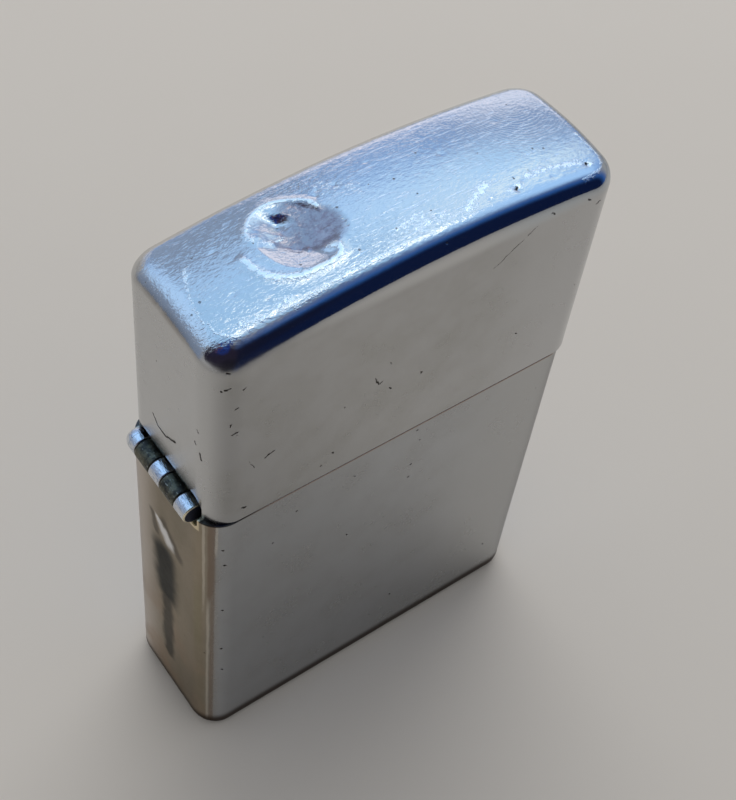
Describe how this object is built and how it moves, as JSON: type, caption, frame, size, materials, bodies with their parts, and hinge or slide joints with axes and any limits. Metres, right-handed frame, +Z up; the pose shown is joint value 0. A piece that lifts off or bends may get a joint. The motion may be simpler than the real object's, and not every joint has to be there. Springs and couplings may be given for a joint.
{
  "type": "flip-lid petrol lighter",
  "caption": "Flip-lid petrol lighter in a worn chromed case, with hinged lid, sliding-fit insert, perforated chimney, wick, striking wheel and sprung flint feed.",
  "frame": {"origin": "middle of the flat base of the lower case", "axes": "+Z up through the lid, +X from the hinge to the free end, +Y from the front to the back"},
  "size_m": [0.0382, 0.013, 0.0576],
  "materials": {
    "chrome_case": "polished chrome plate with scratches and tarnish",
    "chrome_lid": "polished chrome plate with dents and scratches",
    "chrome_hinge": "polished chrome plate",
    "dull_hinge": "worn dull plating",
    "insert_steel": "brushed stainless with soot",
    "pin_steel": "bright drawn wire",
    "cam_steel": "hardened and tumbled",
    "wheel_steel": "file-cut dark steel",
    "flint_alloy": "matt sintered alloy",
    "brass": "drawn brass",
    "wick_cord": "braided cord with copper threads",
    "cotton": "cotton wool",
    "felt": "pressed felt"
  },
  "bodies": {
    "case": {"lower_case": "chrome_case", "case_hinge_plate": "chrome_hinge", "hinge_pin": "pin_steel", "insert_tank": "insert_steel", "chimney": "insert_steel", "wick": "wick_cord", "packing_1": "cotton", "packing_2": "cotton", "packing_3": "cotton", "packing_4": "cotton", "packing_5": "cotton", "felt_pad": "felt", "flint_tube": "brass", "flint_screw": "brass", "flint_spring": "pin_steel", "wheel_axle": "pin_steel", "cam_rivet": "pin_steel", "cam_spring": "pin_steel", "spring_rivet": "pin_steel"},
    "lid": {"lid": "chrome_lid", "lid_hinge_plate": "dull_hinge"},
    "cam": {"cam": "cam_steel"},
    "wheel": {"flint_wheel": "wheel_steel"},
    "flint": {"flint": "flint_alloy", "spring_tip": "brass"}
  },
  "joints": [
    {"name": "lid_hinge", "type": "hinge", "parent": "case", "child": "lid", "pos_m": [-0.01825, 0.0005, 0.0354], "axis": [0, -1, 0], "range_deg": [0, 130]},
    {"name": "cam_pivot", "type": "hinge", "parent": "case", "child": "cam", "pos_m": [-0.01305, 0, 0.0386], "axis": [0, -1, 0], "range_deg": [0, 42]},
    {"name": "wheel_spin", "type": "hinge", "parent": "case", "child": "wheel", "pos_m": [0.01185, 0, 0.0449], "axis": [0, 1, 0], "continuous": true},
    {"name": "flint_feed", "type": "slide", "parent": "case", "child": "flint", "axis": [0, 0, 1], "range_m": [-0.002, 0], "stiffness_N_per_m": 20, "deforming": ["flint_spring"]}
  ],
  "couplings": [
    {"joint": "cam_pivot", "follows": "lid_hinge", "ratio": 0.3}
  ]
}
